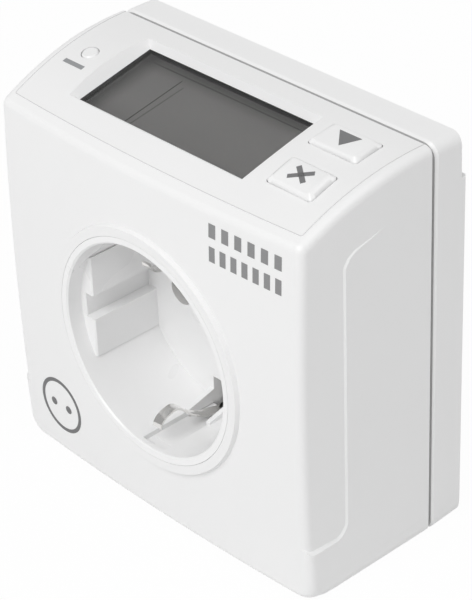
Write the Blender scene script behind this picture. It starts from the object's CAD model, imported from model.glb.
# %% [markdown]
# A plug-in energy cost meter, dressed for a studio picture.
# The solids come packed from the CAD step. This script gives them their
# finishes, adds the prints and the few surfaces that a plain solid can't
# carry, and sets up light and camera.

import math

import bmesh
import bpy
from mathutils import Matrix, Vector


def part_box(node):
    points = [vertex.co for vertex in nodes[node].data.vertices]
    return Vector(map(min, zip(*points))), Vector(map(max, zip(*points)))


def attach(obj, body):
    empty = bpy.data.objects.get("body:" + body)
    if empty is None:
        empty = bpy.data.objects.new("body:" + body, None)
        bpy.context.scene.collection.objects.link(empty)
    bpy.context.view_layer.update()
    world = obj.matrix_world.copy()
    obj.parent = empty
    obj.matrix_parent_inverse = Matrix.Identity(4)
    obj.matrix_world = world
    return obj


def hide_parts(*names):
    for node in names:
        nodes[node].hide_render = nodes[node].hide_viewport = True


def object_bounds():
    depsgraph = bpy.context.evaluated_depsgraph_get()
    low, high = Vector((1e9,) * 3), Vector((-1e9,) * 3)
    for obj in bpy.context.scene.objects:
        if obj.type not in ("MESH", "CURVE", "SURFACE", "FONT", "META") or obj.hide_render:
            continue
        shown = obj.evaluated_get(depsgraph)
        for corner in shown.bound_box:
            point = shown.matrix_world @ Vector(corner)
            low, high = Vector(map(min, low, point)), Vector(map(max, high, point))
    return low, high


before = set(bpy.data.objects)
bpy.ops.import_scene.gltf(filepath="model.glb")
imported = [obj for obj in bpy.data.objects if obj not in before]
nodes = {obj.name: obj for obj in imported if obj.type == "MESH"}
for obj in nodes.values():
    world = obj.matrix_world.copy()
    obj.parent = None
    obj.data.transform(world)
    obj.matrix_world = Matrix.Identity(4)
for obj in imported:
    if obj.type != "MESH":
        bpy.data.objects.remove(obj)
cad_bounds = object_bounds()
MM = 0.001
print("pieces:", len(nodes), "box:", cad_bounds)

# %% [markdown]
# Places on the meter, in millimetres. The origin is the middle of the plug's
# end face, X is to the right, Y runs towards the wall and Z is up. "Depth"
# counts from the rim of the socket. The front is part of a very large ball,
# the top is an arc that runs level into the joint between both halves.

# %% Measures of the front and the top
rim_y = -55.8
half_width, body_bottom, body_top = 37.05, -34.95, 40.5
cover_front, cover_back, groove_width = rim_y + 31.27, -17.0, 0.9
crown_radius, crown_apex = 600.0, 0.4
top_radius, top_level_depth = 57.6, 29.4
top_centre_z = body_top - top_radius
display_depth = 17.0
display_ahead = top_level_depth - display_depth
display_tilt = math.asin(display_ahead / top_radius)
display_rise = math.sqrt(top_radius**2 - display_ahead**2)
display_origin = Vector((0, rim_y + display_depth, top_centre_z + display_rise))
display_along = Vector((0, math.cos(display_tilt), math.sin(display_tilt)))
display_up = Vector((0, -math.sin(display_tilt), math.cos(display_tilt)))


def display_point(x, along, level):
    """Point in the display's own directions: across, backwards and upwards."""
    return display_origin + Vector((x, 0, 0)) + along * display_along + level * display_up


def arc_level(along):
    """Height of the curved top above the display's tangent plane."""
    return math.sqrt(top_radius**2 - along**2) - top_radius


print("display tilt in degrees:", round(math.degrees(display_tilt), 2))

# %% [markdown]
# Colours are written as hex values, as a paint program shows them. Shaders
# count light instead, so one function turns them to linear. A second small
# function adds a shader node with its settings and links. A material starts
# from an empty tree and ends in its shader, where plain values and linked
# patterns meet.

# %% Helpers for materials


def linear(hex_code):
    """Linear colour from an sRGB hex value."""
    channels = [int(hex_code[i : i + 2], 16) / 255 for i in (1, 3, 5)]
    steps = [c / 12.92 if c <= 0.04045 else ((c + 0.055) / 1.055) ** 2.4 for c in channels]
    return (*steps, 1.0)


def add(tree, kind, settings=None, inputs=None, links=None):
    """Adds one node, sets its properties and values, and links its inputs."""
    node = tree.nodes.new(kind)
    for key, value in (settings or {}).items():
        setattr(node, key, value)
    for key, value in (inputs or {}).items():
        node.inputs[key].default_value = value
    for key, source in (links or {}).items():
        tree.links.new(source, node.inputs[key])
    return node


def blank(name):
    """A new material with no nodes, and the tree to build in."""
    material = bpy.data.materials.new(name)
    material.use_nodes = True
    material.node_tree.nodes.clear()
    return material, material.node_tree


def finished(material, values, links):
    """Ends a material in its shader, with plain values and linked patterns."""
    tree = material.node_tree
    shader = add(tree, "ShaderNodeBsdfPrincipled", inputs=values, links=links)
    add(tree, "ShaderNodeOutputMaterial", links={"Surface": shader.outputs["BSDF"]})
    return material


def grain(tree, scale_mm, detail):
    """Pattern from 0 to 1 whose lumps are about scale_mm wide on the object."""
    coords = add(tree, "ShaderNodeTexCoord")
    noise = add(
        tree,
        "ShaderNodeTexNoise",
        inputs={"Scale": 1 / (scale_mm * MM), "Detail": detail, "Roughness": 0.55},
        links={"Vector": coords.outputs["Object"]},
    )
    return noise.outputs["Fac"]


# %% [markdown]
# The housing is ABS, injection moulded in white. The mould leaves a very
# fine spark texture, which softens the gloss, and slow flow marks that vary
# it a little. Both are patterns on the object's own coordinates.

# %% Moulded plastics
flow_mm, spark_mm, spark_depth_mm = 26.0, 0.28, 0.006


def moulded_plastic(name, light, dark, gloss):
    """Moulded plastic: two close tones, spark texture and slow gloss changes."""
    material, tree = blank(name)
    flow = grain(tree, flow_mm, 2.0)
    tone = add(
        tree,
        "ShaderNodeMix",
        settings={"data_type": "RGBA"},
        inputs={"A": linear(dark), "B": linear(light)},
        links={"Factor": flow},
    )
    rough = add(
        tree,
        "ShaderNodeMapRange",
        inputs={"From Min": 0.3, "From Max": 0.7, "To Min": gloss - 0.03, "To Max": gloss + 0.05},
        links={"Value": flow},
    )
    spark = add(
        tree,
        "ShaderNodeBump",
        inputs={"Strength": 0.5, "Distance": spark_depth_mm * MM},
        links={"Height": grain(tree, spark_mm, 2.0)},
    )
    patterns = {
        "Base Color": tone.outputs["Result"],
        "Roughness": rough.outputs["Result"],
        "Normal": spark.outputs["Normal"],
    }
    return finished(material, {"IOR": 1.53}, patterns)


housing_abs = moulded_plastic("ABS, white, fine spark texture", "#f4f4f4", "#f1f1f1", 0.38)
fascia_abs = moulded_plastic("ABS, white, display fascia", "#f2f2f2", "#efefef", 0.42)
socket_pa = moulded_plastic("Polyamide, white, socket cup", "#f7f7f7", "#f4f4f4", 0.3)
groove_abs = moulded_plastic("ABS, white, unlit groove", "#dadada", "#d4d4d4", 0.5)
cover_rim_abs = moulded_plastic("ABS, white, shaded rim of the cover", "#c8c8c8", "#c2c2c2", 0.5)
key_abs = moulded_plastic("ABS, white, polished keys", "#f4f4f4", "#f1f1f1", 0.3)
holder_abs = moulded_plastic("ABS, black, display holder", "#1d1e1f", "#161718", 0.45)
carrier_pbt = moulded_plastic("PBT, grey, contact carrier", "#8a8c8e", "#828486", 0.5)
print("plastics:", len(bpy.data.materials), "materials so far")

# %% [markdown]
# The springs of the earth contact, the strap of the plug and its pins are
# brass with a bright nickel plate. Rolled strip has fine lines along it, so
# the roughness is stretched noise.

# %% Metals
line_mm, line_depth_mm, line_stretch = 0.12, 0.003, (1.0, 0.06, 1.0)


def rolled_metal(name, colour, rough):
    """Plated or plain metal with fine rolling lines."""
    material, tree = blank(name)
    coords = add(tree, "ShaderNodeTexCoord")
    stretched = add(
        tree,
        "ShaderNodeMapping",
        inputs={"Scale": line_stretch},
        links={"Vector": coords.outputs["Object"]},
    )
    lines = add(
        tree,
        "ShaderNodeTexNoise",
        inputs={"Scale": 1 / (line_mm * MM), "Detail": 2.0},
        links={"Vector": stretched.outputs["Vector"]},
    )
    gloss = add(
        tree,
        "ShaderNodeMapRange",
        inputs={"From Min": 0.3, "From Max": 0.7, "To Min": rough - 0.05, "To Max": rough + 0.08},
        links={"Value": lines.outputs["Fac"]},
    )
    relief = add(
        tree,
        "ShaderNodeBump",
        inputs={"Strength": 0.4, "Distance": line_depth_mm * MM},
        links={"Height": lines.outputs["Fac"]},
    )
    patterns = {"Roughness": gloss.outputs["Result"], "Normal": relief.outputs["Normal"]}
    return finished(material, {"Base Color": linear(colour), "Metallic": 1.0}, patterns)


nickel = rolled_metal("Nickel plate on spring brass", "#e2e1df", 0.12)
brass = rolled_metal("Brass strip", "#d8b56a", 0.3)
alloy = rolled_metal("Resistance alloy strip", "#a98768", 0.35)
steel = rolled_metal("Zinc-plated steel screw", "#b9bcbf", 0.32)
print("metals and plastics:", len(bpy.data.materials), "materials so far")

# %% [markdown]
# The window is clear PMMA, moulded smooth, with a hint of haze in its gloss.

# %% Window
window_pmma, tree = blank("PMMA, clear window")
haze = add(
    tree,
    "ShaderNodeMapRange",
    inputs={"From Min": 0.3, "From Max": 0.7, "To Min": 0.01, "To Max": 0.03},
    links={"Value": grain(tree, 6.0, 1.0)},
)
finished(
    window_pmma,
    {"Base Color": linear("#f8f8f8"), "Transmission Weight": 1.0, "IOR": 1.49},
    {"Roughness": haze.outputs["Result"]},
)
print("window:", window_pmma.name)

# %% [markdown]
# Behind the window lies the liquid crystal panel: grey glass with a matt
# polariser on top. It looks dimmer at its left end and along its rear edge,
# where its film ends. A Mapping node turns the pattern into the display's
# own directions, so each of these ranges is one smooth step along an axis.

# %% Panel
panel_tones, panel_dark = ("#868583", "#918f8e"), "#1c1c1d"
dim_ranges = {"X": (-24.6, -18.6, 0.22), "Y": (8.6, 4.2, 0.42)}
lcd_film, tree = blank("Liquid crystal panel under matt polariser")
tone = add(
    tree,
    "ShaderNodeMix",
    settings={"data_type": "RGBA"},
    inputs={"A": linear(panel_tones[0]), "B": linear(panel_tones[1])},
    links={"Factor": grain(tree, 9.0, 2.0)},
)
coords = add(tree, "ShaderNodeTexCoord")
turned_origin = Matrix.Rotation(-display_tilt, 3, "X") @ display_origin * MM
turned = add(
    tree,
    "ShaderNodeMapping",
    inputs={"Rotation": (-display_tilt, 0, 0), "Location": -turned_origin},
    links={"Vector": coords.outputs["Object"]},
)
axes = add(tree, "ShaderNodeSeparateXYZ", links={"Vector": turned.outputs["Vector"]})
dims = [
    add(
        tree,
        "ShaderNodeMapRange",
        settings={"interpolation_type": "SMOOTHSTEP"},
        inputs={"From Min": dark * MM, "From Max": full * MM, "To Min": least, "To Max": 1.0},
        links={"Value": axes.outputs[axis]},
    )
    for axis, (dark, full, least) in dim_ranges.items()
]
both = add(
    tree,
    "ShaderNodeMath",
    settings={"operation": "MULTIPLY"},
    links={i: dim.outputs["Result"] for i, dim in enumerate(dims)},
)
dimmed = add(
    tree,
    "ShaderNodeMix",
    settings={"data_type": "RGBA"},
    inputs={"A": linear(panel_dark)},
    links={"Factor": both.outputs["Value"], "B": tone.outputs["Result"]},
)
film = add(
    tree,
    "ShaderNodeBump",
    inputs={"Strength": 0.4, "Distance": 0.002 * MM},
    links={"Height": grain(tree, 0.15, 1.0)},
)
finished(
    lcd_film,
    {"Roughness": 0.5},
    {"Base Color": dimmed.outputs["Result"], "Normal": film.outputs["Normal"]},
)
print("panel nodes:", len(tree.nodes))

# %% [markdown]
# Pieces inside: boards with solder mask, coated parts and conductive rubber.
# All are filled or coated materials with a fine speckle.

# %% Inner materials


def coated(name, light, dark, gloss, speck_mm=0.4):
    """Coated or filled material with a speckle."""
    material, tree = blank(name)
    speck = grain(tree, speck_mm, 3.0)
    tone = add(
        tree,
        "ShaderNodeMix",
        settings={"data_type": "RGBA"},
        inputs={"A": linear(dark), "B": linear(light)},
        links={"Factor": speck},
    )
    relief = add(
        tree,
        "ShaderNodeBump",
        inputs={"Strength": 0.4, "Distance": 0.01 * MM},
        links={"Height": speck},
    )
    patterns = {"Base Color": tone.outputs["Result"], "Normal": relief.outputs["Normal"]}
    return finished(material, {"Roughness": gloss}, patterns)


board_mask = coated("Glass-fibre board, green solder mask", "#1f6a3a", "#185a30", 0.35)
capacitor_case = coated("Polyester case, yellow", "#d8a820", "#cfa01c", 0.45)
varistor_coat = coated("Epoxy coat, blue", "#2a4fa0", "#244590", 0.4)
strip_rubber = coated("Layered silicone rubber", "#2c2c30", "#8f8f94", 0.7, 0.2)
ribbon_film = coated("Polyester ribbon", "#e4dfd0", "#dcd6c6", 0.4)
print("materials for solids:", len(bpy.data.materials))

# %% [markdown]
# Each solid of the CAD step gets its finish. The solids keep their meshes,
# only their material slots change.

# %% Who wears what
finishes = {
    housing_abs: ("front_housing", "back_cover"),
    fascia_abs: ("display_fascia",),
    socket_pa: ("socket_insert",),
    key_abs: ("key_down", "key_cancel", "reset_button"),
    holder_abs: ("lcd_holder", "display_chip", "metering_chip", "key_switches",
                 "plunger_down", "plunger_cancel", "plunger_reset"),
    window_pmma: ("window_glass",),
    lcd_film: ("lcd_panel",),
    strip_rubber: ("contact_strips",),
    board_mask: ("display_board", "power_board"),
    steel: ("board_screws", "carrier_screws", "housing_screws", "backup_cell"),
    brass: ("line_contact", "neutral_contact", "neutral_bar", "line_in_bar", "line_out_bar",
            "earth_link"),
    alloy: ("shunt",),
    nickel: ("earth_springs", "plug_earth_strap", "plug_pins"),
    carrier_pbt: ("contact_carrier",),
    capacitor_case: ("film_capacitor", "smoothing_capacitor"),
    varistor_coat: ("varistor",),
    ribbon_film: ("board_ribbon",),
}
for material, names in finishes.items():
    for name in names:
        nodes[name].data.materials.clear()
        nodes[name].data.materials.append(material)
print("finished nodes:", sum(len(names) for names in finishes.values()))

# %% [markdown]
# Some edges of the real meter are softer or rounder than the solids. The
# shape stays theirs: each piece below is a copy of a CAD piece, with its
# loose triangles merged first, and stands in for it. The copy keeps the
# CAD's smooth normals where the surface is only bent a little.

# %% Helpers for meshes


def placed(name, mesh):
    """New object at the origin, linked to the scene."""
    thing = bpy.data.objects.new(name, mesh)
    bpy.context.scene.collection.objects.link(thing)
    return thing


def plain_mesh(piece):
    """Mesh of a piece as its modifiers leave it."""
    ready = piece.evaluated_get(bpy.context.evaluated_depsgraph_get())
    return bpy.data.meshes.new_from_object(ready)


def shape_from(points, faces):
    """A shape to edit, from its corner points and faces."""
    shape = bmesh.new()
    corners = [shape.verts.new(p) for p in points]
    for face in faces:
        shape.faces.new([corners[i] for i in face])
    return shape


def mesh_from(shape, name):
    """Mesh of an edited shape, which is freed."""
    mesh = bpy.data.meshes.new(name)
    shape.to_mesh(mesh)
    shape.free()
    return mesh


def join_flat(shape):
    """Joins the triangles of flat areas."""
    bmesh.ops.dissolve_limit(
        shape, angle_limit=math.radians(0.5), verts=shape.verts[:], edges=shape.edges[:]
    )


# %% Copies of CAD pieces


def merged_copy(name):
    """Corner points in mm, faces and corner normals of a CAD piece, doubles merged."""
    mesh = nodes[name].data
    spots, faces, normals = {}, [], []
    for polygon in mesh.polygons:
        keys = [tuple(round(c / MM, 4) for c in mesh.vertices[i].co) for i in polygon.vertices]
        if len(set(keys)) == len(keys):
            faces.append([spots.setdefault(key, len(spots)) for key in keys])
            normals += [mesh.corner_normals[i].vector.copy() for i in polygon.loop_indices]
    return [Vector(spot) for spot in spots], faces, normals


def stand_in(name, mesh, body):
    """Puts a mesh in a CAD piece's place on its body, with its first material."""
    mesh.materials.append(nodes[name].data.materials[0])
    piece = placed(name + "_dressed", mesh)
    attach(piece, body)
    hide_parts(name)


def shaded(mesh, degrees=28.0):
    """Smooth faces, sharp edges above an angle, and flat faces that stay flat."""
    mesh.shade_smooth()
    mesh.set_sharp_from_angle(angle=math.radians(degrees))
    carrier = placed("carrier", mesh)
    weighted = carrier.modifiers.new("weighted", "WEIGHTED_NORMAL")
    weighted.keep_sharp = True
    result = plain_mesh(carrier)
    bpy.data.objects.remove(carrier)
    return result


# %% [markdown]
# The lower corners of the housing are round at the front, tighter along the
# sides and round again at the wall. A bend does that: a point in the corner
# moves straight out from the corner's middle, further on the outside than
# on the inner wall. The normals turn by the slope of the same bend.

# %% Bend of the lower corners
corner_middle_x, corner_middle_z, corner_round = 33.05, -30.95, 4.0
corner_tight = 1.8
bend_reach, bend_depth, bend_rear = (1.9, 3.7), (1.5, 7.0), 0.9


def ramp(value, start, end):
    """Rises from 0 at the start to 1 at the end, slowly at both."""
    share = min(max((value - start) / (end - start), 0.0), 1.0)
    return share * share * (3 - 2 * share)


def drawn_out(across, below, old, new):
    """How much further a corner reaches in one direction when its radius shrinks."""
    start = old - new
    inside = (start * (across + below)) ** 2 - 2 * start**2 + new**2
    if inside > 0:
        arc = start * (across + below) + math.sqrt(inside)
        if min(arc * across, arc * below) >= start:
            return arc / old
    return 1 / max(across, below)


def bent_corner(point):
    """Place of a point after the lower corners are drawn out, in mm."""
    out, down = abs(point.x) - corner_middle_x, corner_middle_z - point.z
    if out <= 0 or down <= 0:
        return point.copy()
    reach = math.hypot(out, down)
    share = ramp(reach, *bend_reach) * ramp(point.y - rim_y, *bend_depth)
    share *= 1 - ramp(point.y, cover_back - bend_rear, cover_back)
    grow = 1 + share * (drawn_out(out / reach, down / reach, corner_round, corner_tight) - 1)
    side = math.copysign(1, point.x)
    x, z = side * (corner_middle_x + out * grow), corner_middle_z - down * grow
    return Vector((x, point.y, z))


def bent_normal(point, normal):
    """Normal of the bent surface, from the slopes of the bend."""
    step = 0.02
    slopes = []
    for axis in range(3):
        shift = Vector([step if i == axis else 0 for i in range(3)])
        slopes.append((bent_corner(point + shift) - bent_corner(point - shift)) / (2 * step))
    bend = Matrix(slopes).transposed()
    if abs(bend.determinant()) < 0.05:
        return normal
    return (bend.inverted().transposed() @ normal).normalized()


# %% Front housing
points, faces, normals = merged_copy("front_housing")
housing_mesh = bpy.data.meshes.new("front_housing_dressed")
housing_mesh.from_pydata([bent_corner(p) * MM for p in points], [], faces)
owners = [points[i] for face in faces for i in face]
housing_mesh.shade_smooth()
housing_mesh.normals_split_custom_set([bent_normal(p, n) for p, n in zip(owners, normals)])
stand_in("front_housing", housing_mesh, "meter")
print("housing faces:", len(faces))

# %% [markdown]
# The groove between both halves reads as a soft dark line, because little
# light reaches its floor. Its faces get their own darker finish. They are
# the housing's last millimetre, set back from its skin.

# %% Shadow groove
skin = 0.3


def below_skin(point):
    """How far a point lies inside the housing's outline, seen from the front."""
    return min(half_width - abs(point.x), point.z - body_bottom, body_top - point.z)


housing_mesh.materials.append(groove_abs)
for polygon in housing_mesh.polygons:
    corners = [housing_mesh.vertices[i].co / MM for i in polygon.vertices]
    behind = min(c.y for c in corners) > cover_front - groove_width - 0.01
    if behind and min(below_skin(c) for c in corners) > skin:
        polygon.material_index = 1
print("groove faces:", sum(p.material_index for p in housing_mesh.polygons))

# %% [markdown]
# The back cover closes the box behind the groove. Its two top corners are
# rounded over with a bevel, after the flat areas are joined so that the
# bevel finds clean edges. Its front rim lies in the groove's shade.

# %% Back cover
cover_round, near_side, near_top = 2.0, 0.75, 0.8


def top_corner(edge):
    """The cover's two top corners, which run from its front to its back."""
    ends = [v.co for v in edge.verts]
    runs = abs(ends[0].y - ends[1].y) > 0.2
    side, height = half_width - near_side, body_top - near_top
    return runs and all(abs(e.x) > side and e.z > height for e in ends)


points, faces, _ = merged_copy("back_cover")
shape = shape_from([bent_corner(p) for p in points], faces)
bmesh.ops.recalc_face_normals(shape, faces=shape.faces[:])
join_flat(shape)
edges = [edge for edge in shape.edges if len(edge.link_faces) == 2 and top_corner(edge)]
bmesh.ops.bevel(
    shape,
    geom=edges,
    offset=cover_round,
    segments=6,
    profile=0.5,
    affect="EDGES",
    clamp_overlap=True,
)
shape.transform(Matrix.Scale(MM, 4))
cover_mesh = shaded(mesh_from(shape, "back_cover_dressed"))
stand_in("back_cover", cover_mesh, "meter")

cover_mesh.materials.append(cover_rim_abs)
for polygon in cover_mesh.polygons:
    corners = [cover_mesh.vertices[i].co / MM for i in polygon.vertices]
    if all(abs(c.y - cover_front) < 0.05 for c in corners):
        polygon.material_index = 1
shaded_rim = sum(p.material_index for p in cover_mesh.polygons)
print("rounded edges:", len(edges), "shaded rim:", shaded_rim)

# %% [markdown]
# Seen from above, the keys and their openings have tighter corners than the
# solids. The same bend draws them out, in the display's own directions. The
# cap's edges are shaded as one soft round.

# %% Soft keys
key_round, key_tight, key_edge_degrees = 1.2, 0.5, 62.0
key_gap, key_reach, key_foot = 0.0, 1.35, -1.95
opening_gap, opening_reach, opening_foot = 0.15, 1.6, -2.0
key_boxes = {"key_down": (20.5, 31.0, 2.6, 8.8), "key_cancel": (21.2, 31.0, -7.55, -1.4)}


def key_corner_bent(point, box, gap, reach_limit, lowest):
    """Place of a point after the corners of one key or opening are drawn out."""
    local = point - display_origin
    u, v, level = local.x, local.dot(display_along), local.dot(display_up)
    left, right, front, rear = box
    side_u = 1 if u > (left + right) / 2 else -1
    side_v = 1 if v > (front + rear) / 2 else -1
    middle_u = right - key_round if side_u > 0 else left + key_round
    middle_v = rear - key_round if side_v > 0 else front + key_round
    out, back = (u - middle_u) * side_u, (v - middle_v) * side_v
    reach = math.hypot(out, back)
    if out <= 1e-6 or back <= 1e-6 or reach > reach_limit or level < lowest:
        return point.copy()
    grow = drawn_out(out / reach, back / reach, key_round + gap, key_tight + gap) - 1
    return point + Vector((out * grow * side_u, 0, 0)) + back * grow * side_v * display_along


for name, body in (("key_down", "down_key"), ("key_cancel", "cancel_key")):
    points, faces, _ = merged_copy(name)
    box = key_boxes[name]
    bent = [key_corner_bent(p, box, key_gap, key_reach, key_foot) * MM for p in points]
    shape = shape_from(bent, faces)
    join_flat(shape)
    cap = shaded(mesh_from(shape, name + "_cap"), key_edge_degrees)
    stand_in(name, cap, body)
    print(name, "faces:", len(cap.polygons))

# %% Fascia with tighter openings
points, faces, normals = merged_copy("display_fascia")
opened = points
for box in key_boxes.values():
    opened = [key_corner_bent(p, box, opening_gap, opening_reach, opening_foot) for p in opened]
fascia_mesh = bpy.data.meshes.new("display_fascia_dressed")
fascia_mesh.from_pydata([p * MM for p in opened], [], faces)
fascia_mesh.shade_smooth()
fascia_mesh.normals_split_custom_set(normals)
stand_in("display_fascia", fascia_mesh, "meter")
print("moved fascia points:", sum((a - b).length > 0.01 for a, b in zip(opened, points)))

# %% [markdown]
# The fascia lies in its pocket with a fine seam all round. The seam is made
# by Geometry Nodes: the outline's edges become a curve, and a thin round
# section follows it, half sunk in the surface, in the tone of a shaded gap.

# %% Seam round the fascia, the node tree
seam_abs = moulded_plastic("ABS, shaded seam", "#d4d4d4", "#cfcfcf", 0.6)


def seam_tree():
    """Node tree that runs a thin round section along the edges of a mesh."""
    tree = bpy.data.node_groups.new("seam", "GeometryNodeTree")
    sockets = tree.interface
    sockets.new_socket("Geometry", in_out="INPUT", socket_type="NodeSocketGeometry")
    sockets.new_socket("Radius", in_out="INPUT", socket_type="NodeSocketFloat")
    sockets.new_socket("Geometry", in_out="OUTPUT", socket_type="NodeSocketGeometry")
    given = add(tree, "NodeGroupInput").outputs
    path = add(tree, "GeometryNodeMeshToCurve", links={"Mesh": given["Geometry"]})
    section = add(
        tree,
        "GeometryNodeCurvePrimitiveCircle",
        inputs={"Resolution": 8},
        links={"Radius": given["Radius"]},
    )
    swept = add(
        tree,
        "GeometryNodeCurveToMesh",
        inputs={"Fill Caps": True},
        links={"Curve": path.outputs["Curve"], "Profile Curve": section.outputs["Curve"]},
    )
    real = add(tree, "GeometryNodeRealizeInstances", links={"Geometry": swept.outputs["Mesh"]})
    toned = add(
        tree,
        "GeometryNodeSetMaterial",
        inputs={"Material": seam_abs},
        links={"Geometry": real.outputs["Geometry"]},
    )
    add(tree, "NodeGroupOutput", links={"Geometry": toned.outputs["Geometry"]})
    return tree


def run_tree(piece, tree, sizes):
    """Gives a piece the plain mesh that a node tree makes with these sizes."""
    modifier = piece.modifiers.new("nodes", "NODES")
    modifier.node_group = tree
    for socket in tree.interface.items_tree:
        if socket.name in sizes:
            modifier[socket.identifier] = sizes[socket.name]
    made = plain_mesh(piece)
    piece.modifiers.clear()
    piece.data = made


# %% [markdown]
# The seam's path is the line where the curved top ends at the fascia's
# sides and front. Each edge there lies between a face on the arc and one
# that isn't.

# %% Seam round the fascia, its path
seam_side, seam_front, seam_radius = 33.0, 6.0, 0.07


def on_arc(vert):
    """True where a point lies on the curved top."""
    y, z = vert.co.y / MM, vert.co.z / MM
    return abs(math.hypot(y - rim_y - top_level_depth, z - top_centre_z) - top_radius) < 0.03


def on_outline(edge):
    """Edges where the curved top ends at the fascia's sides and front."""
    middle = (edge.verts[0].co + edge.verts[1].co) / 2 / MM
    flat_faces = [all(on_arc(v) for v in face.verts) for face in edge.link_faces]
    outer = abs(middle.x) > seam_side or middle.y - rim_y < seam_front
    return outer and sorted(flat_faces) == [False, True]


points, faces, _ = merged_copy("display_fascia")
shape = shape_from([p * MM for p in points], faces)
kept = [edge for edge in shape.edges if on_outline(edge)]
dropped = set(shape.edges) - set(kept)
bmesh.ops.delete(shape, geom=list(shape.faces), context="FACES_ONLY")
bmesh.ops.delete(shape, geom=[e for e in dropped if e.is_valid], context="EDGES")
print("seam edges:", len(kept))

# %% Seam round the fascia, made
fascia_seam = placed("fascia_seam", mesh_from(shape, "seam_path"))
run_tree(fascia_seam, seam_tree(), {"Radius": seam_radius * MM})
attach(fascia_seam, "meter")
print("seam faces:", len(fascia_seam.data.polygons))

# %% [markdown]
# The earth contact is one strip of nickel-plated brass, bent so that both
# fingers reach into the cup. A smooth line through marks of depth and
# height is swept with a thin section that is rounded at its edges and
# slightly bowed, as pressed strip is.

# %% Earth springs, their line
yoke_inset = 0.225
yoke_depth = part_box("earth_springs")[1][1] / MM - rim_y - yoke_inset
finger = [(2.2, 16.4), (2.5, 15.6), (3.5, 14.75), (5.9, 14.15), (7.6, 15.2), (9.4, 17.0),
          (12.0, 18.6), (15.0, 19.4), (17.2, 20.0), (yoke_depth - 0.9, 20.2),
          (yoke_depth - 0.05, 19.4), (yoke_depth, 17.0), (yoke_depth, 9.0)]
spring_marks = [(d, -z) for d, z in finger] + [(yoke_depth, 0.0)] + finger[::-1]


def smooth_line(marks, steps=6):
    """Points of a soft curve that passes through all the marks."""
    padded = [marks[0], *marks, marks[-1]]
    line = []
    for ends in zip(padded, padded[1:], padded[2:], padded[3:]):
        for t in (i / steps for i in range(steps)):
            line.append([
                p * (2 * t**2 - t - t**3) / 2
                + q * (2 - 5 * t**2 + 3 * t**3) / 2
                + r * (t + 4 * t**2 - 3 * t**3) / 2
                + s * (t**3 - t**2) / 2
                for p, q, r, s in zip(*ends)
            ])
    return [*line, list(marks[-1])]


spring_line = smooth_line(spring_marks)
print("points along the springs:", len(spring_line))

# %% Earth springs, swept
spring_thick, spring_bow, flat_share, spring_edge_degrees = 0.4, 0.1, 0.93, 45.0
finger_half, yoke_extra, yoke_turn = 1.05, 0.75, (16.5, 19.0)


def finger_width(depth):
    """Half the strip's width: slim fingers, broad yoke."""
    return finger_half + yoke_extra * ramp(depth, *yoke_turn)


def strip_section(half, steps=6):
    """Closed section of the strip: bowed faces and round edges."""
    rise = spring_thick / 2
    top = [(half * (2 * i / steps - 1) * flat_share, rise) for i in range(steps + 1)]
    outline = [*top, (half, 0.0), *((x, -h) for x, h in top[::-1]), (-half, 0.0)]
    return [(x, h + spring_bow * (1 - (x / half) ** 2)) for x, h in outline]


shape = bmesh.new()
rings = []
for i, (depth, z) in enumerate(spring_line):
    before, after = spring_line[max(i - 1, 0)], spring_line[min(i + 1, len(spring_line) - 1)]
    way = Vector((0, after[0] - before[0], after[1] - before[1])).normalized()
    out = Vector((0, way.z, -way.y))
    rings.append([
        shape.verts.new((Vector((x, rim_y + depth, z)) + h * out) * MM)
        for x, h in strip_section(finger_width(depth))
    ])
for first, second in zip(rings, rings[1:]):
    for i in range(len(first)):
        shape.faces.new((first[i - 1], first[i], second[i], second[i - 1]))
shape.faces.new(rings[0])
shape.faces.new(rings[-1])
bmesh.ops.recalc_face_normals(shape, faces=shape.faces[:])
spring_mesh = shaded(mesh_from(shape, "earth_springs_dressed"), spring_edge_degrees)
stand_in("earth_springs", spring_mesh, "meter")
print("spring faces:", len(spring_mesh.polygons))

# %% [markdown]
# Prints. Pad printing leaves a film of ink a few hundredths of a millimetre
# thick. Each print is a thin closed plate that follows the surface under it
# and starts a hair below it, so that no gap shows at a slant.

# %% Inks
print_film, print_sunk = 0.025, 0.004


def ink(name, colour):
    """Pad-printing ink, slightly uneven in cover."""
    material, tree = blank(name)
    full = linear(colour)
    thin = (*(c * 0.88 for c in full[:3]), 1.0)
    tone = add(
        tree,
        "ShaderNodeMix",
        settings={"data_type": "RGBA"},
        inputs={"A": thin, "B": full},
        links={"Factor": grain(tree, 0.5, 3.0)},
    )
    return finished(material, {"Roughness": 0.45}, {"Base Color": tone.outputs["Result"]})


grey_ink = ink("Pad-printing ink, grey", "#8d8d8e")
dark_ink = ink("Pad-printing ink, dark grey", "#7b7b7c")
pale_ink = ink("Pad-printing ink, light grey", "#9a9c9e")
sign_ink = ink("Pad-printing ink, slate", "#6c6c6d")
seam_dark = ink("Panel seam, dark", "#161616")
seam_mid = ink("Panel edge, shaded glass", "#4c4c4b")
seam_soft = ink("Panel seam, shadow", "#636361")
print("inks, the last of", len(bpy.data.materials), "materials")

# %% Plates on a surface


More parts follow.
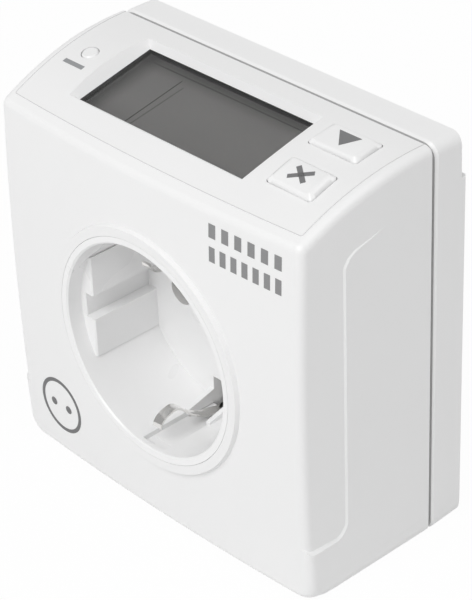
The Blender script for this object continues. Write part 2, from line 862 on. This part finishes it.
def plate_mesh(name, outlines, place, material, thickness=print_film, cell=0.8):
    """Thin closed plates from flat outlines, cut into cells and laid on a surface.

    outlines are lists of (u, v) corners, place(u, v, lift) gives a point in mm.
    """
    flat = bmesh.new()
    for outline in outlines:
        flat.faces.new([flat.verts.new((u, v, 0)) for u, v in outline])
    for axis in range(2):
        low = min(v.co[axis] for v in flat.verts)
        high = max(v.co[axis] for v in flat.verts)
        across = Vector([1 if i == axis else 0 for i in range(3)])
        for cut in range(1, int((high - low) / cell) + 1):
            bmesh.ops.bisect_plane(
                flat,
                geom=flat.verts[:] + flat.edges[:] + flat.faces[:],
                plane_co=across * (low + cut * cell),
                plane_no=across,
            )
    bmesh.ops.recalc_face_normals(flat, faces=flat.faces[:])
    raised = bmesh.ops.extrude_face_region(flat, geom=flat.faces[:])
    top = {v for v in raised["geom"] if isinstance(v, bmesh.types.BMVert)}
    for v in flat.verts:
        v.co = place(v.co.x, v.co.y, thickness if v in top else 0.0) * MM
    bmesh.ops.recalc_face_normals(flat, faces=flat.faces[:])
    mesh = mesh_from(flat, name)
    mesh.materials.append(material)
    return placed(name, mesh)


def bar(x0, y0, x1, y1, width):
    """Corners of a straight bar between two points."""
    start, end = Vector((x0, y0)), Vector((x1, y1))
    side = (end - start).normalized().orthogonal() * width / 2
    return [tuple(start - side), tuple(end - side), tuple(end + side), tuple(start + side)]


# %% [markdown]
# Each key wears its own mark: a triangle that points down, and a cross of
# two bars. They ride on the keys, so they go down with them.

# %% Key marks
key_proud = 0.8
down_centre, cancel_centre = (25.75, 5.7), (26.1, -4.475)


def key_top(centre):
    """Places flat prints on a key's top, which is square to the curved surface."""
    tilt = math.asin(centre[1] / top_radius)
    base = display_point(centre[0], centre[1], arc_level(centre[1]) + key_proud)
    along = math.cos(tilt) * display_along - math.sin(tilt) * display_up
    up = math.cos(tilt) * display_up + math.sin(tilt) * display_along
    return lambda u, v, lift: base + Vector((u, 0, 0)) + v * along + (lift - print_sunk) * up


triangle = [(0.35, -1.7), (2.24, 1.71), (-2.62, 1.67)]
falling, rising = bar(-1.73, 1.39, 1.57, -1.14, 0.9), bar(-1.82, -1.25, 1.75, 1.4, 0.9)
key_marks = (
    ("arrow_print", "down_key", down_centre, triangle),
    ("cross_print", "cancel_key", cancel_centre, rising),
    ("cross_print_second", "cancel_key", cancel_centre, falling),
)
for name, body, centre, outline in key_marks:
    mark = plate_mesh(name, [outline], key_top(centre), dark_ink)
    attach(mark, body)
print("key marks:", len(key_marks))

# %% [markdown]
# Two rows of plain bars are printed at the upper right of the front. Bars
# that repeat are a job for Geometry Nodes: a line of points, one thin box
# on each, and a last step that lays them on the crowned front. The sizes
# are inputs of the tree, so both rows come from the same one.

# %% Rows of bars, the node tree


def row_tree():
    """Node tree that makes one row of thin bars on the crowned front."""
    tree = bpy.data.node_groups.new("bar_row", "GeometryNodeTree")
    for name in ("Count", "Pitch", "Width", "Height", "Left", "Middle"):
        kind = "NodeSocketInt" if name == "Count" else "NodeSocketFloat"
        tree.interface.new_socket(name, in_out="INPUT", socket_type=kind)
    tree.interface.new_socket("Geometry", in_out="OUTPUT", socket_type="NodeSocketGeometry")
    sizes = add(tree, "NodeGroupInput").outputs

    def maths(operation, *terms):
        """Result of one sum, whose terms are sockets or plain numbers."""
        links = {i: t for i, t in enumerate(terms) if isinstance(t, bpy.types.NodeSocket)}
        values = {i: t for i, t in enumerate(terms) if i not in links}
        return add(tree, "ShaderNodeMath", {"operation": operation}, values, links).outputs["Value"]

    start = add(tree, "ShaderNodeCombineXYZ", links={"X": sizes["Left"], "Z": sizes["Middle"]})
    step = add(tree, "ShaderNodeCombineXYZ", links={"X": sizes["Pitch"]})
    places = add(
        tree,
        "GeometryNodeMeshLine",
        links={
            "Count": sizes["Count"],
            "Start Location": start.outputs["Vector"],
            "Offset": step.outputs["Vector"],
        },
    )
    size = add(
        tree,
        "ShaderNodeCombineXYZ",
        inputs={"Y": print_film},
        links={"X": sizes["Width"], "Z": sizes["Height"]},
    )
    box = add(
        tree,
        "GeometryNodeMeshCube",
        inputs={"Vertices X": 4, "Vertices Z": 5},
        links={"Size": size.outputs["Vector"]},
    )
    bars = add(
        tree,
        "GeometryNodeInstanceOnPoints",
        links={"Points": places.outputs["Mesh"], "Instance": box.outputs["Mesh"]},
    )
    real = add(tree, "GeometryNodeRealizeInstances", links={"Geometry": bars.outputs["Instances"]})

    place = add(tree, "GeometryNodeInputPosition")
    here = add(tree, "ShaderNodeSeparateXYZ", links={"Vector": place.outputs["Position"]}).outputs
    across = maths("MULTIPLY", here["X"], here["X"])
    upwards = maths("MULTIPLY", here["Z"], here["Z"])
    ball = maths("SQRT", maths("SUBTRACT", crown_radius**2, maths("ADD", across, upwards)))
    front = rim_y + crown_apex + crown_radius - print_film / 2 + print_sunk
    shift = add(tree, "ShaderNodeCombineXYZ", links={"Y": maths("SUBTRACT", front, ball)})
    laid = add(
        tree,
        "GeometryNodeSetPosition",
        links={"Geometry": real.outputs["Geometry"], "Offset": shift.outputs["Vector"]},
    )
    metres = add(
        tree,
        "GeometryNodeTransform",
        inputs={"Scale": (MM, MM, MM)},
        links={"Geometry": laid.outputs["Geometry"]},
    )
    inked = add(
        tree,
        "GeometryNodeSetMaterial",
        inputs={"Material": grey_ink},
        links={"Geometry": metres.outputs["Geometry"]},
    )
    add(tree, "NodeGroupOutput", links={"Geometry": inked.outputs["Geometry"]})
    return tree


# %% Rows of bars, made
bar_rows = {
    "front_print_upper": {
        "Count": 6, "Pitch": 2.84, "Width": 1.5, "Height": 2.5, "Left": 17.4, "Middle": 29.95
    },
    "front_print_lower": {
        "Count": 7, "Pitch": 2.39, "Width": 1.3, "Height": 2.7, "Left": 17.35, "Middle": 25.75
    },
}
bar_tree = row_tree()
for name, sizes in bar_rows.items():
    row = placed(name, bpy.data.meshes.new(name))
    run_tree(row, bar_tree, sizes)
    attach(row, "meter")
    print(name, "faces:", len(row.data.polygons))

# %% [markdown]
# A plain ring with two dots, the common sign for a socket, is printed at
# the lower left of the front. A short bar marks the reset button.

# %% Socket sign and reset bar
sign_centre, sign_outer, sign_inner = (-25.6, -23.9), 5.6, 4.85
dot_radius, dot_offset = 0.8, 2.1
reset_outline = [(-32.3, -3.85), (-27.4, -3.85), (-27.4, -2.95), (-32.3, -2.95)]


def disc(centre, radius, steps=24):
    """Corners of a filled circle."""
    turns = [math.tau * i / steps for i in range(steps)]
    return [(centre[0] + radius * math.cos(t), centre[1] + radius * math.sin(t)) for t in turns]


def ring(centre, outer, inner, steps=48):
    """Ring cut into short pieces, so each one is a plain outline."""
    rim, hole = disc(centre, outer, steps), disc(centre, inner, steps)
    return [[rim[i - 1], rim[i], hole[i], hole[i - 1]] for i in range(steps)]


def on_front(x, z, lift):
    """Places prints on the crowned front."""
    depth = crown_apex + crown_radius - math.sqrt(crown_radius**2 - x**2 - z**2)
    return Vector((x, rim_y + depth - lift + print_sunk, z))


def on_top(u, v, lift):
    """Places prints on the curved top."""
    return display_point(u, v, arc_level(v) + lift - print_sunk)


dots = [
    disc((sign_centre[0] + side * dot_offset, sign_centre[1]), dot_radius) for side in (-1, 1)
]
sign = ring(sign_centre, sign_outer, sign_inner) + dots
for mark in (
    plate_mesh("socket_sign_print", sign, on_front, sign_ink),
    plate_mesh("reset_bar_print", [reset_outline], on_top, pale_ink),
):
    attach(mark, "meter")
    print(mark.name, "faces:", len(mark.data.polygons))

# %% [markdown]
# The fingers of the earth contact lie in shallow troughs of the cup. Each
# trough has a floor, which is a thin white wall of the cup.

# %% Trough floors
trough_half, trough_front, trough_rear, trough_wall, trough_cell = 2.75, 3.55, 17.3, 0.2, 5.0
trough_outline = [(-trough_half, trough_front), (trough_half, trough_front),
                  (trough_half, trough_rear), (-trough_half, trough_rear)]


def in_trough(side, level):
    """Places a sheet above or below the cup's middle, at one level."""
    return lambda u, v, lift: Vector((u, rim_y + v, side * (level + lift)))


for side, level, name in ((-1, 20.15, "trough_floor_lower"), (1, 19.75, "trough_floor_upper")):
    place = in_trough(side, level)
    liner = plate_mesh(name, [trough_outline], place, socket_pa, trough_wall, trough_cell)
    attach(liner, "meter")
    print(name, "faces:", len(liner.data.polygons))

# %% [markdown]
# On the panel itself, a thin seam divides the small left field from the
# rest, with its shadow beside it, and a dark line runs along the rear edge.

# %% Lines on the panel
panel_level, line_film, line_cell = -4.0, 0.02, 4.0
panel_lines = {
    "panel_seam": (bar(-13.4, 5.9, -13.82, -8.1, 0.2), seam_dark),
    "panel_seam_shade": (bar(-11.8, 4.7, -12.6, -8.1, 0.22), seam_soft),
    "panel_edge_line": (bar(-21.6, 7.0, 16.4, 7.0, 0.3), seam_mid),
}


def on_panel(u, v, lift):
    """Places lines on the panel."""
    return display_point(u, v, panel_level + lift)


for name, (outline, tone) in panel_lines.items():
    line = plate_mesh(name, [outline], on_panel, tone, line_film, line_cell)
    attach(line, "meter")
print("panel lines:", len(panel_lines))

# %% [markdown]
# Studio. A pale floor runs up into a pale backdrop, and a low rim on its
# other sides hides the horizon in level views. The camera sees it as plain
# white, and so do mirrored rays and rays through glass, while a small share
# of the paper keeps the meter's shadow.

# %% Paper of the floor
shadow_share = 0.03
paper_white, tree = blank("Paper backdrop, white")
paper = add(tree, "ShaderNodeBsdfDiffuse", inputs={"Color": linear("#eeeeee")})
glow = add(tree, "ShaderNodeEmission", inputs={"Color": (1, 1, 1, 1), "Strength": 1.0})
rays = add(tree, "ShaderNodeLightPath").outputs
straight = add(
    tree,
    "ShaderNodeMath",
    settings={"operation": "MAXIMUM"},
    links={0: rays["Is Camera Ray"], 1: rays["Is Transmission Ray"]},
)
seen = add(
    tree,
    "ShaderNodeMath",
    settings={"operation": "MAXIMUM"},
    links={0: straight.outputs["Value"], 1: rays["Is Glossy Ray"]},
)
share = add(
    tree,
    "ShaderNodeMath",
    settings={"operation": "MULTIPLY"},
    inputs={1: 1 - shadow_share},
    links={0: seen.outputs["Value"]},
)
mix = add(
    tree,
    "ShaderNodeMixShader",
    links={0: share.outputs["Value"], 1: paper.outputs["BSDF"], 2: glow.outputs["Emission"]},
)
add(tree, "ShaderNodeOutputMaterial", links={"Surface": mix.outputs["Shader"]})
print("share of the paper that takes shade:", shadow_share)

# %% Floor and backdrop
floor_z = cad_bounds[0][2]
reach, rim_rise = 3.0, 0.6
wall_start, wall_bend, wall_height = 1.2, 0.8, 2.5
profile = [(-reach - rim_rise, rim_rise), (-reach, 0.0), (wall_start, 0.0)]
for angle in (math.radians(step * 10) for step in range(1, 10)):
    sideways, upwards = wall_bend * math.sin(angle), wall_bend * (1 - math.cos(angle))
    profile.append((wall_start + sideways, upwards))
profile.append((wall_start + wall_bend, wall_height))
across = [(-reach - rim_rise, rim_rise), (-reach, 0.0), (reach, 0.0), (reach + rim_rise, rim_rise)]

sheet = bmesh.new()
rows = [
    [sheet.verts.new((x, y, floor_z + max(z, side))) for x, side in across] for y, z in profile
]
for lower, upper in zip(rows, rows[1:]):
    for i in range(len(across) - 1):
        sheet.faces.new((lower[i], lower[i + 1], upper[i + 1], upper[i]))
floor_mesh = mesh_from(sheet, "studio_floor")
floor_mesh.shade_smooth()
floor_mesh.materials.append(paper_white)
placed("studio_floor", floor_mesh)
print("floor faces:", len(floor_mesh.polygons))

# %% [markdown]
# Light. One large soft lamp stands in front and above, a weaker one high on
# the right, and a pale sky fills the shade from all sides.

# %% Lamps and sky
target = Vector((0.0, -0.036, 0.003))
lamp_size, sky_strength = 0.8, 0.435
lamps = {"lamp_front": ((0.15, -0.95, 0.95), 9.4), "lamp_right": ((0.75, 0.15, 1.2), 3.0)}
for name, (place, power) in lamps.items():
    light = bpy.data.lights.new(name, "AREA")
    light.shape = "SQUARE"
    light.size = lamp_size
    light.energy = power
    lamp = placed(name, light)
    lamp.location = place
    lamp.rotation_euler = (target - Vector(place)).to_track_quat("-Z", "Y").to_euler()

world = bpy.data.worlds.new("studio_world")
bpy.context.scene.world = world
world.use_nodes = True
sky = world.node_tree
sky.nodes.clear()
white = {"Color": linear("#ffffff"), "Strength": sky_strength}
room = add(sky, "ShaderNodeBackground", inputs=white)
add(sky, "ShaderNodeOutputWorld", links={"Surface": room.outputs["Background"]})
print("lamps:", len(lamps))

# %% [markdown]
# The camera was solved from the photograph: where it stands, how it is
# turned and its long lens. The rows below are its right, up and back
# directions.

# %% Camera
camera_data = bpy.data.cameras.new("camera")
camera_data.sensor_fit = "VERTICAL"
camera_data.sensor_height = 36.0
camera_data.lens = 139.715
camera_data.clip_start = 0.01
camera = placed("camera", camera_data)
right = Vector((0.684816, 0.727846, -0.035604))
up = Vector((-0.369857, 0.389258, 0.843614))
back = Vector((0.62788, -0.564552, 0.535769))
turn = Matrix((right, up, back)).transposed().to_4x4()
camera_place = Vector((251.098, -204.278 + rim_y, 214.703)) * MM
camera.matrix_world = Matrix.Translation(camera_place) @ turn
bpy.context.scene.camera = camera
bpy.context.scene.view_settings.view_transform = "Standard"
print("camera at", [round(c / MM) for c in camera_place], "mm")
